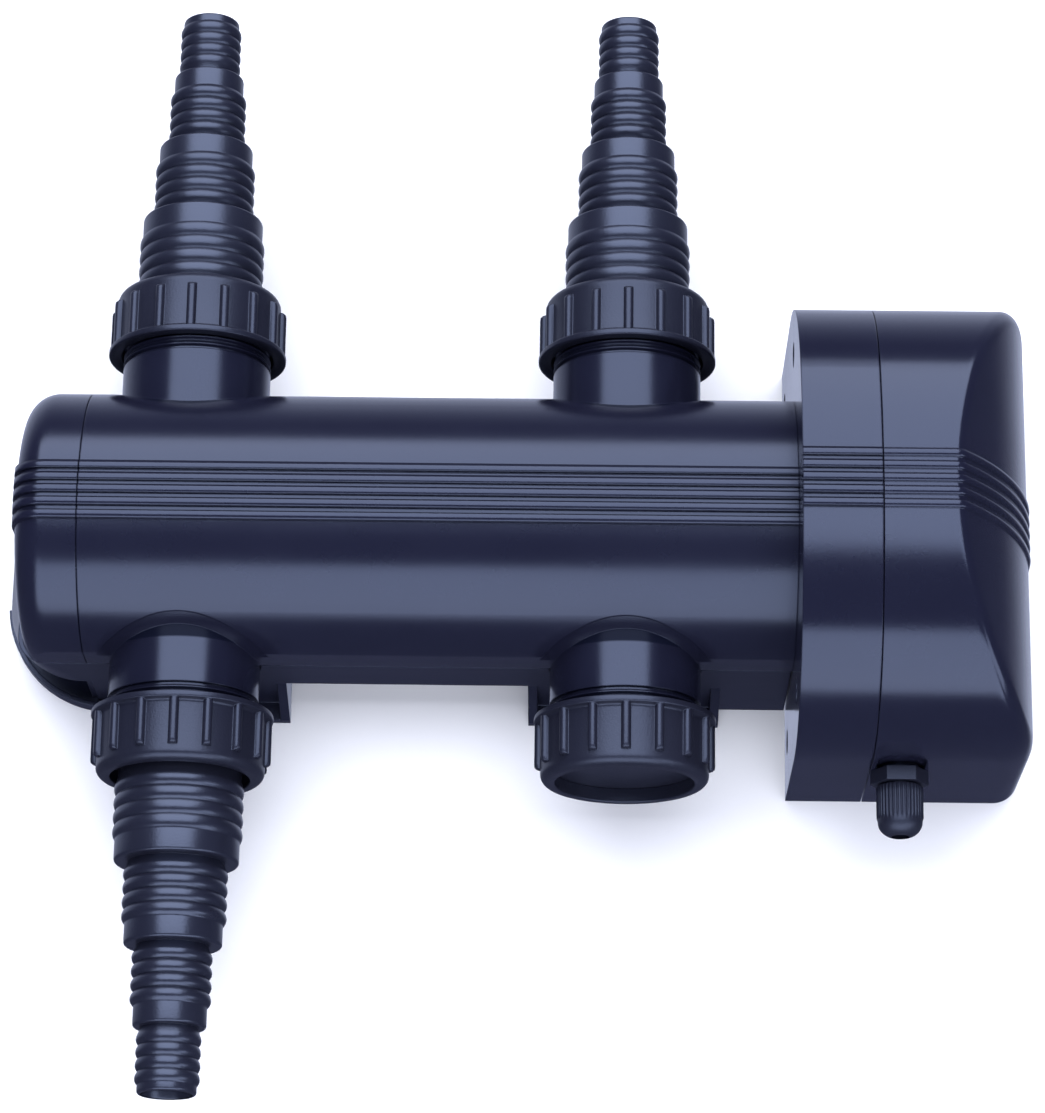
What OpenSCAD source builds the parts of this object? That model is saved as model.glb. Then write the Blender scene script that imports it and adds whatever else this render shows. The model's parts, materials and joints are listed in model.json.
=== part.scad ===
// UV clarifier: a through-flow tube with four union ports, a quartz-sleeved UV lamp on its axis and a
// tunnel-shaped electrical head. It lies on its base: +X towards the head, +Y and -Y along the ports,
// Z = 0 on the resting face, origin midway between the ports.

/* [Flow tube] */
// Outside radius of the tube's upper half
tube_r = 45; // [44.5:0.5:46]
// Height of the tube and port axes above the resting face
axis_z = 45; // [45:0.5:46]
// Half width across the flats on the tube's sides
flat_y = 43.3; // [43:0.1:43.5]
// Outside radius of the tube's lower half, inside the mounting base
lower_r = 41.2; // [41:0.1:41.2]
// Bore radius of the tube
bore_r = 38.5; // [37.5:0.5:38.5]
// Length of the rounded end cap
cap_len = 20.5; // [20:0.5:22]
// Corner radius of the end cap
cap_round = 10; // [8:0.5:11]

/* [Ports] */
// Half the distance between two ports on one side
port_x = 70; // [68:0.5:72]
// Crest radius of the port thread (G 1 1/2)
port_r = 23.9; // [23.7:0.1:24]
// Bore radius of a port
port_bore_r = 19; // [18:0.5:19.5]
// Distance from the tube axis to the sealing face of a port
port_len = 71.5; // [71.5:0.5:73]
// Thread pitch of the ports and union nuts
port_pitch = 2.309; // [2.2:0.001:2.4]

/* [Union nuts] */
// Radius over the flange of a union nut
nut_r = 28.8; // [28.6:0.1:29]
// Length of a union nut
nut_len = 21.4; // [21:0.1:22]
// Number of grip ribs on a union nut
nut_ribs = 16; // [12:1:20]
// Radius of the hole in the face of a union nut
nut_hole_r = 22; // [21.5:0.1:22.5]

/* [Hose tails] */
// Length of a hose tail beyond its union nut
tail_len = 100; // [98:0.5:102]
// Bore radius at the tip of a hose tail
tip_bore_r = 7.6; // [7:0.1:7.8]

/* [Head] */
// Left face of the head
head_x = 123; // [122:0.5:124]
// Parting face between the head's base and its cover
seam_x = 147.8; // [147:0.1:149]
// Right end of the cover
end_x = 198.8; // [198:0.1:200]
// Half width of the head
head_w = 74; // [73:0.5:75]
// Height of the head
head_h = 108.5; // [107:0.5:110]
// Wall thickness of the head
head_wall = 3; // [2.5:0.1:3.5]

/* [Mounting base] */
// Half width of the feet
foot_y = 49.5; // [49:0.5:51]
// Half the distance between the screw holes across the tube
screw_y = 30; // [29:0.5:31]
// Radius of the screw holes
screw_r = 2.75; // [2.5:0.05:3]

/* [Hidden] */

gap = 0.3;
eps = 0.05;
fn_round = 96;

// The four ports: [X sign, Y sign]
back_left = [-1, 1];
back_right = [1, 1];
front_left = [-1, -1];
front_right = [1, -1];
ports = [back_left, back_right, front_left, front_right];

tube_left = -101;
parting_z = axis_z;
flat_top_z = axis_z + sqrt(tube_r * tube_r - flat_y * flat_y);
cap_end_x = tube_left - cap_len;

// Five raised ribs along the crown of the tube and the head
rib_count = 5;
rib_pitch = 4.1;
rib_w = 2.7;
rib_h = 0.9;

// Head section: two side arcs tangent to one flatter crown arc
side_arc_r = 55.8;
side_arc_z = 49.3;
side_arc_y = head_w - side_arc_r;
arc_rise = head_h - side_arc_z;
crown_r = (side_arc_y * side_arc_y + arc_rise * arc_rise - side_arc_r * side_arc_r)
    / (2 * (arc_rise - side_arc_r));
crown_angle = atan2(side_arc_y, side_arc_z - head_h + crown_r);
// The cover's end is a large arc in side view that meets the end wall at this height
end_arc_r = 104;
end_arc_z = 38;
end_corner_r = 8;

// Union joint, as distances from the tube axis along a port
nut_start = 59.8;
gasket_t = 2;
tail_flange_t = 3;
nut_end = nut_start + nut_len;
shoulder = port_len + gasket_t + tail_flange_t;
nut_bore_r = port_r + 0.5;
flange_r = port_r - 0.3;
thread_start = 55.6;
thread_depth = 1.1;
nut_body_r = nut_r - 2.1;
nut_rib_r = nut_r - 0.35;
nut_rib_w = 2.8;

// Hose tail steps from the tip: [length, barb radius, lead radius]
tail_steps = [[20.7, 10.1, 9.25], [25.7, 12.6, 11.45], [26.3, 16.4, 15.35], [27.3, 20.4, 19.6]];
barbs_per_step = 4;
barb_share = 0.17;
barb_depth = 1;
barb_back = 1.6;

// Head interior
collar_r = 28;
collar_bore_r = 22.9;
collar_len = 12;
sleeve_r = 22.5;
sleeve_wall = 2;
sleeve_left = -92;
lamp_tube_r = 8.75;
lamp_tube_y = 10.3;
lamp_left = -74;
lamp_base_x = 143;
lamp_base_len = 18;
holder_len = 14;
boss_points = [[-58, 14], [58, 14], [-56, 66], [56, 66]];
boss_r = 5.5;
ballast_screw_x = [seam_x + 8, seam_x + 40];
screw_head_len = 2.5;
screw_recess = 3.4;
screw_tip_x = 162;

// Cable gland on the front wall of the cover
gland_x = 157;
gland_z = 38;
gland_thread_r = 6;
gland_hex_r = 9.2;
gland_cap_r = 7.35;

// Mounting base
base_wall = 2;
floor_t = 3;
window_x = 39;
window_z = 25;
right_foot_x = 101;
foot_left = -132.6;
foot_end_y = 46.6;
foot_round = 34.6;
rim_h = 6;
rim_end_x = -95;
foot_wall_x = -102;
notch_x = -126;
notch_y = 13.7;
apron_end_x = -100;
saddle_x = [-104, -42, 42, 98];
saddle_t = 3;

function arc(r, a0, a1, steps, c = [0, 0]) =
    [for (i = [0 : steps]) c + r * [cos(a0 + (a1 - a0) * i / steps), sin(a0 + (a1 - a0) * i / steps)]];

// Extrude a Y-Z outline from x0 to x1
module along_x(x0, x1) {
    translate([x0, 0, 0]) rotate([90, 0, 90]) linear_extrude(x1 - x0) children();
}

// A rod along X
module rod_x(x0, x1, r, y = 0, z = axis_z) {
    translate([x0, y, z]) rotate([0, 90, 0]) cylinder(h = x1 - x0, r = r, $fn = fn_round);
}

// Place children with their +Z axis running out along a port
module at_port(port) {
    translate([port[0] * port_x, 0, axis_z]) rotate([-90 * port[1], 0, 0]) children();
}

// A ring between two radii, from z0 to z1
module ring(r_in, r_out, z0, z1) {
    translate([0, 0, z0]) difference() {
        cylinder(h = z1 - z0, r = r_out, $fn = fn_round);
        translate([0, 0, -eps]) cylinder(h = z1 - z0 + 2 * eps, r = r_in, $fn = fn_round);
    }
}

// Slabs that cut the crown ribs out of a grown outer shape
module rib_slabs(x0, x1) {
    for (i = [0 : rib_count - 1])
        translate([x0, (i - (rib_count - 1) / 2) * rib_pitch - rib_w / 2, axis_z])
            cube([x1 - x0, rib_w, head_h]);
}

// Outline of the tube: round crown, flat sides and a slimmer lower half
module tube_outline(grow = 0) {
    translate([0, axis_z]) circle(r = lower_r, $fn = fn_round);
    intersection() {
        translate([0, axis_z]) circle(r = tube_r + grow, $fn = fn_round);
        translate([-flat_y, parting_z]) square([2 * flat_y, tube_r + 2]);
    }
    translate([-flat_y, parting_z]) square([2 * flat_y, flat_top_z - parting_z]);
}

module body_shell() color("#1c2130") difference() {
    union() {
        along_x(tube_left, head_x) tube_outline();
        intersection() {
            rod_x(tube_left, head_x, tube_r + rib_h);
            rib_slabs(tube_left, head_x);
        }
        for (port = ports) at_port(port) {
            cylinder(h = thread_start, r = port_r, $fn = fn_round);
            translate([0, 0, thread_start]) port_thread();
        }
    }
    rod_x(tube_left - eps, head_x + eps, bore_r);
    for (port = ports) at_port(port) {
        cylinder(h = port_len + eps, r = port_bore_r, $fn = fn_round);
        port_recess();
    }
}

// Thread of a port as closed ridges
module port_thread() {
    ridges = floor((port_len - thread_start) / port_pitch);
    cylinder(h = port_len - thread_start, r = port_r - thread_depth, $fn = fn_round);
    for (i = [0 : ridges - 1])
        translate([0, 0, (i + 0.4) * port_pitch]) rotate_extrude($fn = fn_round)
            polygon([[port_bore_r + 1, 0], [port_r - thread_depth, 0], [port_r, port_pitch * 0.25],
                [port_r, port_pitch * 0.4], [port_r - thread_depth, port_pitch * 0.65],
                [port_bore_r + 1, port_pitch * 0.65]]);
}

// Shallow recess in the tube's skin round the foot of a port
module port_recess() {
    recess_r = port_r + 4.9;
    difference() {
        translate([0, 0, 20]) ring(port_r, recess_r, 0, tube_r - 20 + 1);
        rotate([0, 90, 0])
            cylinder(h = 2 * recess_r + 2, r = tube_r - 0.8, center = true, $fn = fn_round);
    }
}

// Profile of the end cap about the tube axis; h runs away from the body
module cap_profile(r, len, round_r) {
    square([r - round_r, len]);
    square([r, len - round_r]);
    intersection() {
        translate([r - round_r, len - round_r]) circle(r = round_r, $fn = fn_round);
        square([r, len]);
    }
}

module cap_solid(r, len, round_r) {
    translate([tube_left, 0, axis_z]) rotate([0, -90, 0])
        rotate_extrude($fn = fn_round) cap_profile(r, len, round_r);
}

module end_cap() color("#1c2130") {
    spigot_r = bore_r - 0.1;
    spigot_len = 9;
    difference() {
        union() {
            intersection() {
                cap_solid(tube_r, cap_len, cap_round);
                translate([cap_end_x - 1, -flat_y, parting_z])
                    cube([cap_len + 2, 2 * flat_y, tube_r + 2]);
            }
            cap_solid(lower_r, cap_len, cap_round - tube_r + lower_r);
            intersection() {
                cap_solid(tube_r + rib_h, cap_len + rib_h, cap_round + rib_h);
                rib_slabs(cap_end_x - 2, tube_left);
            }
            rod_x(tube_left - eps, tube_left + spigot_len, spigot_r);
        }
        translate([tube_left, 0, axis_z]) rotate([0, -90, 0])
            ring(spigot_r - 0.5, tube_r + 5, -2 * eps, 0.25);
        cap_solid(bore_r - 3, cap_len - 4, 4);
        rod_x(tube_left - eps, tube_left + spigot_len + 1, bore_r - 3);
        translate([tube_left, 0, axis_z]) rotate([0, 90, 0]) ring(bore_r - 2.8, bore_r + 1, 3, 6.2);
    }
}

module end_cap_seal() color("#101010")
    translate([tube_left + 4.6, 0, axis_z]) rotate([0, 90, 0]) rotate_extrude($fn = fn_round)
        translate([bore_r - 1.45, 0]) circle(r = 1.3, $fn = 32);

// Plan outline of the base's left end, with rounded corners
module foot_plan(x0, x1, half_y, round_r) {
    intersection() {
        union() {
            for (s = [-1, 1])
                translate([x0 + round_r, s * (half_y - round_r)]) circle(r = round_r, $fn = fn_round);
            translate([x0, -half_y + round_r]) square([x1 - x0, 2 * (half_y - round_r)]);
            translate([x0 + round_r, -half_y]) square([x1 - x0 - round_r, 2 * half_y]);
        }
        translate([x0, -half_y]) square([x1 - x0, 2 * half_y]);
    }
}

module mounting_base() color("#1a1d28") difference() {
    union() {
        // Floor plates of the two feet
        linear_extrude(floor_t) foot_plan(foot_left, -window_x, foot_end_y, foot_round);
        translate([rim_end_x, -foot_y, 0]) cube([-window_x - rim_end_x, 2 * foot_y, floor_t]);
        translate([window_x, -foot_y, 0]) cube([right_foot_x - window_x, 2 * foot_y, floor_t]);
        translate([right_foot_x - eps, -flat_y, 0])
            cube([head_x - gap - right_foot_x, 2 * flat_y, floor_t]);
        // Raised rim round the left foot
        linear_extrude(rim_h) difference() {
            foot_plan(foot_left, rim_end_x, foot_end_y, foot_round);
            foot_plan(foot_left + 1.6, rim_end_x + 1, foot_end_y - 1.6, foot_round - 1.6);
        }
        apron();
        // Side rails, the feet's walls and outer buttresses under the ports
        for (s = [-1, 1]) {
            rail_y = s > 0 ? flat_y - base_wall : -flat_y;
            translate([apron_end_x - eps, rail_y, window_z])
                cube([head_x - gap - apron_end_x, base_wall, parting_z - gap - window_z]);
            translate([foot_wall_x, rail_y, 0])
                cube([-window_x - foot_wall_x, base_wall, window_z + eps]);
            translate([window_x, rail_y, 0])
                cube([head_x - gap - window_x, base_wall, window_z + eps]);
            for (x = [-90, -window_x - saddle_t, window_x, right_foot_x - saddle_t])
                translate([x, s > 0 ? flat_y - eps : -flat_y + eps, 0]) buttress(s);
        }
        for (x = saddle_x) translate([x, 0, 0]) saddle();
    }
    for (x = [-port_x, port_x], y = [-screw_y, screw_y])
        translate([x, y, -eps]) cylinder(h = floor_t + 2 * eps, r = screw_r, $fn = fn_round);
    for (port = ports) at_port(port) cylinder(h = foot_y + 5, r = port_r + gap, $fn = fn_round);
    translate([foot_left - 1, -notch_y, -eps]) cube([notch_x - foot_left + 1, 2 * notch_y, rim_h + 1]);
}

// Skirt round the end cap, wider at its lower edge
module apron() {
    top_z = parting_z - gap - eps;
    difference() {
        hull() {
            apron_plate(window_z, -129, flat_y, 24.5);
            apron_plate(top_z, -123.5, flat_y, 9);
        }
        hull() {
            apron_plate(window_z - eps, -127, flat_y - base_wall, 22.5);
            apron_plate(top_z + eps, -121.8, flat_y - base_wall, 6.5);
        }
        cap_solid(lower_r + gap, cap_len + gap, cap_round - tube_r + lower_r + gap);
    }
}

module apron_plate(z, x0, half_y, round_r) {
    translate([0, 0, z]) linear_extrude(eps) foot_plan(x0, apron_end_x, half_y, round_r);
}

// Triangular web between a foot's wall and its floor plate
module buttress(side) {
    reach = side * (foot_y - flat_y);
    translate([saddle_t, 0, 0]) rotate([90, 0, -90]) linear_extrude(saddle_t)
        polygon([[0, 0], [-reach, 0], [-reach, floor_t], [0, window_z]]);
}

// Cross rib with a round seat for the tube
module saddle() {
    along_x(0, saddle_t) difference() {
        translate([-flat_y + 1, 0]) square([2 * flat_y - 2, axis_z - 5]);
        translate([0, axis_z]) circle(r = lower_r + 0.1, $fn = fn_round);
    }
}

module quartz_sleeve() color("#dfe9f5", 0.4) difference() {
    end_x0 = sleeve_left + sleeve_r;
    union() {
        rod_x(end_x0, head_x + head_wall + collar_len, sleeve_r);
        intersection() {
            translate([end_x0, 0, axis_z]) sphere(r = sleeve_r, $fn = fn_round);
            rod_x(sleeve_left - 1, end_x0 + eps, sleeve_r + 1);
        }
    }
    rod_x(end_x0, head_x + head_wall + collar_len + eps, sleeve_r - sleeve_wall);
    translate([end_x0, 0, axis_z]) sphere(r = sleeve_r - sleeve_wall, $fn = fn_round);
}

// Spider that centres the closed end of the sleeve in the tube
module sleeve_support() color("#23262e") translate([-58, 0, axis_z]) rotate([0, 90, 0]) {
    ring(sleeve_r + 0.1, sleeve_r + 3, 0, 8);
    difference() {
        for (a = [45, 135]) rotate([0, 0, a]) translate([-bore_r + 0.6, -1.5, 0])
            cube([2 * bore_r - 1.2, 3, 8]);
        translate([0, 0, -eps]) cylinder(h = 8 + 2 * eps, r = sleeve_r + 2.5, $fn = fn_round);
    }
}

module sleeve_seal() color("#101010")
    translate([head_x + head_wall + collar_len - 1.7, 0, axis_z]) rotate([0, 90, 0])
        rotate_extrude($fn = fn_round) translate([sleeve_r + 1.75, 0]) circle(r = 1.6, $fn = 32);

module sleeve_nut() color("#23262e")
    translate([head_x + head_wall, 0, axis_z]) rotate([0, 90, 0]) {
        ring(collar_r + 0.2, collar_r + 4, 2, collar_len + 0.2);
        ring(sleeve_r - 2, collar_r + 4, collar_len + 0.2 - eps, collar_len + 3);
        for (a = [0 : 30 : 330]) rotate([0, 0, a]) translate([collar_r + 3.5, -1.2, 2])
            cube([2, 2.4, collar_len + 1]);
    }

module lamp_glass() color("#f2f6ff", 0.6) {
    for (s = [-1, 1]) {
        difference() {
            rod_x(lamp_left, lamp_base_x, lamp_tube_r, s * lamp_tube_y);
            rod_x(lamp_left + 1, lamp_base_x - 1, lamp_tube_r - 1, s * lamp_tube_y);
        }
    }
    bridge_x = lamp_left + 8;
    bridge_y = lamp_tube_y - lamp_tube_r + 0.4;
    translate([bridge_x, bridge_y, axis_z]) rotate([90, 0, 0])
        cylinder(h = 2 * bridge_y, r = 3, $fn = fn_round);
}

// Soft disc that keeps the lamp clear of the sleeve
module lamp_spacer() color("#d9d4c4")
    difference() {
        rod_x(-40, -36, sleeve_r - sleeve_wall - 0.1);
        for (s = [-1, 1]) rod_x(-41, -35, lamp_tube_r + 0.05, s * lamp_tube_y);
    }

module lamp_base() color("#e8e6df") difference() {
    translate([lamp_base_x, -20, axis_z - 11.5]) cube([lamp_base_len, 40, 23]);
    translate([lamp_base_x + 6, -20 - eps, axis_z - 2]) cube([4, 1.5, 4]);
    translate([lamp_base_x + 6, 18.5 + eps, axis_z - 2]) cube([4, 1.5, 4]);
}

module lamp_pins() color("#c9b36a")
    for (y = [-12, -4, 4, 12])
        rod_x(lamp_base_x + lamp_base_len, lamp_base_x + lamp_base_len + 7, 1.2, y);

module lamp_holder() color("#e8e6df") {
    x0 = lamp_base_x + lamp_base_len;
    difference() {
        translate([x0, -21, axis_z - 12]) cube([holder_len, 42, 24]);
        for (y = [-12, -4, 4, 12]) rod_x(x0 - eps, x0 + 8, 1.4, y);
    }
}

// Bent strap that carries the lamp holder on the head's left wall
module holder_bracket() color("#b9bcc2") {
    x1 = lamp_base_x + lamp_base_len + holder_len;
    translate([x1, -35, axis_z - 10]) cube([1.5, 70, 20]);
    for (s = [-1, 1]) {
        translate([head_x + head_wall + 1.5, s * 34.25 - 0.75, axis_z - 10])
            cube([x1 - head_x - head_wall, 1.5, 20]);
        translate([head_x + head_wall, s * 38 - 4.5, axis_z - 10]) cube([1.5, 9, 20]);
    }
}

// Section of the head: crown arc, two side arcs and straight walls down to the base
module head_outline(grow = 0, floor_z = 0) {
    intersection() {
        union() {
            for (s = [-1, 1])
                translate([s * side_arc_y, side_arc_z]) circle(r = side_arc_r + grow, $fn = 180);
            intersection() {
                translate([0, head_h - crown_r]) circle(r = crown_r + grow, $fn = 360);
                polygon([[0, head_h - crown_r],
                    [2 * crown_r * sin(crown_angle), head_h + crown_r * (2 * cos(crown_angle) - 1)],
                    [-2 * crown_r * sin(crown_angle), head_h + crown_r * (2 * cos(crown_angle) - 1)]]);
            }
            translate([-head_w - grow, 0]) square([2 * (head_w + grow), side_arc_z]);
        }
        translate([-head_w - grow, floor_z]) square([2 * (head_w + grow), head_h + grow - floor_z]);
    }
}

// Solid of the cover: arched section, arc-shaped end and rounded upright corners
module cover_solid(grow = 0, floor_z = 0) {
    half_w = head_w + grow;
    corner_r = end_corner_r + grow;
    intersection() {
        along_x(seam_x, end_x + grow) head_outline(grow, floor_z);
        translate([0, half_w + 1, 0]) rotate([90, 0, 0]) linear_extrude(2 * half_w + 2) {
            translate([end_x - end_arc_r, end_arc_z]) circle(r = end_arc_r + grow, $fn = 360);
            square([end_x + grow, end_arc_z]);
        }
        linear_extrude(head_h + 5) {
            translate([0, -half_w]) square([end_x + grow - corner_r, 2 * half_w]);
            translate([0, -half_w + corner_r]) square([end_x + grow, 2 * (half_w - corner_r)]);
            for (s = [-1, 1]) translate([end_x + grow - corner_r, s * (half_w - corner_r)])
                circle(r = corner_r, $fn = fn_round);
        }
    }
}

module boss_set(x0, x1, r) {
    for (p = boss_points) rod_x(x0, x1, r, p[0], p[1]);
}

module head_base() color("#1c2130") difference() {
    union() {
        difference() {
            along_x(head_x, seam_x - gap) head_outline();
            along_x(head_x + head_wall, seam_x) head_outline(-head_wall, head_wall);
        }
        intersection() {
            along_x(head_x, seam_x - gap) head_outline(rib_h);
            rib_slabs(head_x, seam_x - gap);
            translate([head_x, -head_w, head_h - 3]) cube([seam_x, 2 * head_w, 10]);
        }
        rod_x(head_x + eps, head_x + head_wall + collar_len, collar_r);
        boss_set(head_x + eps, seam_x - gap, boss_r);
    }
    rod_x(head_x - eps, head_x + head_wall + collar_len + eps, collar_bore_r);
    rod_x(head_x + head_wall + collar_len - 3.4, head_x + head_wall + collar_len + eps, sleeve_r + 3.4);
    boss_set(head_x - eps, seam_x, 2.1);
    boss_set(head_x - eps, head_x + screw_recess, 4.1);
}

// Flat gasket that sits just inside the parting face
module cover_seal() color("#101010")
    along_x(seam_x - 2.6, seam_x - gap) difference() {
        head_outline(-head_wall - 0.1, head_wall + 0.1);
        head_outline(-head_wall - 2.5, head_wall + 2.5);
        for (p = boss_points) translate(p) circle(r = boss_r + 0.1, $fn = fn_round);
        for (s = [-1, 1]) translate([s * 58 - (s > 0 ? 0 : 20), 0]) square([20, 22]);
    }

module head_cover() color("#1c2130") difference() {
    union() {
        difference() {
            cover_solid();
            cover_solid(-head_wall, head_wall);
        }
        intersection() {
            cover_solid(rib_h);
            rib_slabs(seam_x, end_x + rib_h);
            difference() {
                translate([seam_x, -20, 40]) cube([60, 40, 80]);
                cover_solid(-1);
            }
        }
        intersection() {
            boss_set(seam_x, end_x - eps, boss_r);
            cover_solid(-eps);
        }
    }
    boss_set(seam_x - eps, screw_tip_x + 2, 2.1);
    translate([gland_x, 0, gland_z]) rotate([90, 0, 0])
        cylinder(h = head_w + 1, r = gland_thread_r + 0.1, $fn = fn_round);
    gland_pocket();
}

// Shallow round-topped pocket in the wall above the gland
module gland_pocket() {
    pocket_w = 15.4;
    translate([gland_x, -head_w + 1.6, gland_z]) rotate([90, 0, 0]) {
        translate([0, pocket_w / 2 + 4, 0]) cylinder(h = 5, r = pocket_w / 2, $fn = fn_round);
        translate([-pocket_w / 2, 0, 0]) cube([pocket_w, pocket_w / 2 + 4, 5]);
    }
}

module cover_screws() color("#9a9da3") {
    under_head = head_x + screw_recess;
    for (p = boss_points) {
        rod_x(under_head - eps, screw_tip_x, 1.8, p[0], p[1]);
        difference() {
            rod_x(under_head - screw_head_len, under_head, 3.6, p[0], p[1]);
            for (a = [0, 90]) translate([under_head - screw_head_len, p[0], p[1]]) rotate([a, 0, 0])
                translate([-1, -2, -0.4]) cube([2.2, 4, 0.8]);
        }
    }
}

module ballast() color("#d8d8d2") difference() {
    translate([seam_x + 4, -6, head_wall]) cube([40, 56, 27]);
    for (x = ballast_screw_x) translate([x, 40, 18]) cylinder(h = 20, r = 1.6, $fn = fn_round);
}

module ballast_screws() color("#9a9da3")
    for (x = ballast_screw_x) {
        translate([x, 40, 20]) cylinder(h = 10 + eps, r = 1.5, $fn = fn_round);
        translate([x, 40, 30]) cylinder(h = 2, r = 3, $fn = fn_round);
    }

module terminal_block() color("#e6e2d0") difference() {
    translate([seam_x + 6, -52, head_wall]) cube([34, 20, 15]);
    for (i = [0 : 2]) {
        translate([seam_x + 12 + i * 11, -46, 8]) cylinder(h = 20, r = 2.2, $fn = fn_round);
        translate([seam_x + 12 + i * 11, -53, 8]) rotate([-90, 0, 0])
            cylinder(h = 40, r = 1.4, $fn = fn_round);
    }
}

// Three short leads from the terminal block across to the ballast
module ballast_leads() color("#3b5ea8")
    for (i = [0 : 2])
        translate([seam_x + 12 + i * 11, -31, 8]) rotate([-90, 0, 0])
            cylinder(h = 24.9, r = 1.2, $fn = fn_round);

// Place children with +Z running out along the gland axis
module at_gland() {
    translate([gland_x, 0, gland_z]) rotate([90, 0, 0]) children();
}

module gland_body() color("#15171c") at_gland() difference() {
    union() {
        translate([0, 0, head_w - 12]) cylinder(h = 12 + eps, r = gland_thread_r, $fn = fn_round);
        translate([0, 0, head_w]) cylinder(h = 4.5, r = gland_hex_r, $fn = 6);
        translate([0, 0, head_w + 4]) cylinder(h = 8, r = gland_thread_r - 0.4, $fn = fn_round);
    }
    translate([0, 0, head_w - 13]) cylinder(h = 16, r = 3.4, $fn = fn_round);
    translate([0, 0, head_w + 2]) cylinder(h = 11, r = 4.7, $fn = fn_round);
}

module gland_lock_nut() color("#15171c") at_gland() difference() {
    translate([0, 0, head_w - head_wall - 4.4]) cylinder(h = 4.4, r = 9, $fn = 6);
    translate([0, 0, head_w - 13]) cylinder(h = 10.5, r = gland_thread_r + 0.05, $fn = fn_round);
}

module gland_seal() color("#2c2f36") at_gland() {
    ring(3, 4.3, head_w + 3, head_w + 13);
    ring(3, 5.4, head_w + 12.3, head_w + 14.5);
}

module gland_dome_nut() color("#15171c") at_gland() {
    difference() {
        union() {
            translate([0, 0, head_w + 5]) cylinder(h = 11, r = gland_cap_r, $fn = fn_round);
            translate([0, 0, head_w + 16 - eps]) rotate_extrude($fn = fn_round)
                polygon(concat([[0, 0]], arc(gland_cap_r, 0, 52, 10), [[0, gland_cap_r * sin(52)]]));
            for (a = [0 : 15 : 345]) rotate([0, 0, a])
                translate([gland_cap_r - 0.3, -0.35, head_w + 5.5]) cube([0.65, 0.7, 10]);
        }
        translate([0, 0, head_w + 4]) cylinder(h = 10.6, r = gland_thread_r + 0.1, $fn = fn_round);
        translate([0, 0, head_w + 14]) cylinder(h = 12, r = 3.6, $fn = fn_round);
    }
}

module port_gaskets() color("#101010")
    for (port = ports) at_port(port) ring(port_bore_r, flange_r - 0.6, port_len, port_len + gasket_t);

module union_nut(port) color("#15181f") at_port(port) {
    difference() {
        union() {
            translate([0, 0, nut_start]) cylinder(h = nut_len - 2.2, r = nut_body_r, $fn = fn_round);
            translate([0, 0, nut_end - 2.2]) cylinder(h = 2.2, r1 = nut_body_r, r2 = nut_body_r - 1.8,
                $fn = fn_round);
            translate([0, 0, nut_start]) cylinder(h = 1.8, r = nut_r, $fn = fn_round);
            for (i = [0 : nut_ribs - 1]) rotate([0, 0, i * 360 / nut_ribs])
                translate([nut_body_r - 1, -nut_rib_w / 2, nut_start + 1])
                    cube([nut_rib_r - nut_body_r + 1, nut_rib_w, 16]);
        }
        translate([0, 0, nut_start - 1])
            cylinder(h = shoulder - nut_start + 1, r = nut_bore_r, $fn = fn_round);
        translate([0, 0, shoulder - 1])
            cylinder(h = nut_len, r = nut_hole_r, $fn = fn_round);
    }
}

module nut_back_left() union_nut(back_left);
module nut_back_right() union_nut(back_right);
module nut_front_left() union_nut(front_left);
module nut_front_right() union_nut(front_right);

// Start of step i, measured back from the tip
function step_start(i) = i == 0 ? 0 : step_start(i - 1) + tail_steps[i - 1][0];

// Outline of one step from its smooth lead to its last barb, as [radius, distance from the tip]
function step_outline(i) =
    let (len = tail_steps[i][0], barb_r = tail_steps[i][1], lead_r = tail_steps[i][2],
        pitch = barb_share * len + (i == 0 ? 0.55 : 0), start = step_start(i),
        first = len - barbs_per_step * pitch - barb_back)
    concat([[lead_r - 0.7, start], [lead_r, start + 0.9], [lead_r, start + first]],
        [for (b = [0 : barbs_per_step - 1], k = [0.12, 0.3, 0.7, 0.88])
            [barb_r - (k < 0.2 || k > 0.8 ? barb_depth * 0.45 : 0), start + first + (b + k) * pitch]]);

module hose_tail(port) color("#15181f") at_port(port) {
    tip = nut_end + tail_len;
    outline = [for (i = [0 : len(tail_steps) - 1]) for (p = step_outline(i)) [p[0], tip - p[1]]];
    neck_z = shoulder + 1;
    difference() {
        union() {
            rotate_extrude($fn = fn_round)
                polygon(concat([[0, tip]], outline, [[19.6, neck_z], [0, neck_z]]));
            translate([0, 0, shoulder - tail_flange_t])
                cylinder(h = tail_flange_t, r = flange_r, $fn = fn_round);
            translate([0, 0, shoulder - eps]) cylinder(h = 1 + 2 * eps, r = 19.6, $fn = fn_round);
        }
        translate([0, 0, shoulder - tail_flange_t - eps]) {
            cylinder(h = tip, r = tip_bore_r, $fn = fn_round);
            for (i = [1 : 3])
                cylinder(h = tip - step_start(i) - 4 - shoulder + tail_flange_t,
                    r = tail_steps[i][2] - 2.4, $fn = fn_round);
        }
    }
}

module tail_back_left() hose_tail(back_left);
module tail_back_right() hose_tail(back_right);
module tail_front_left() hose_tail(front_left);

module blank_plate() color("#15181f") at_port(front_right)
    translate([0, 0, shoulder - tail_flange_t]) cylinder(h = tail_flange_t, r = flange_r, $fn = fn_round);

body_shell();
end_cap();
end_cap_seal();
mounting_base();
quartz_sleeve();
sleeve_support();
sleeve_seal();
sleeve_nut();
lamp_glass();
lamp_base();
lamp_pins();
lamp_spacer();
lamp_holder();
holder_bracket();
head_base();
cover_seal();
head_cover();
cover_screws();
ballast();
ballast_screws();
terminal_block();
ballast_leads();
gland_body();
gland_lock_nut();
gland_seal();
gland_dome_nut();
port_gaskets();
nut_back_left();
nut_back_right();
nut_front_left();
nut_front_right();
tail_back_left();
tail_back_right();
tail_front_left();
blank_plate();
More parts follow.
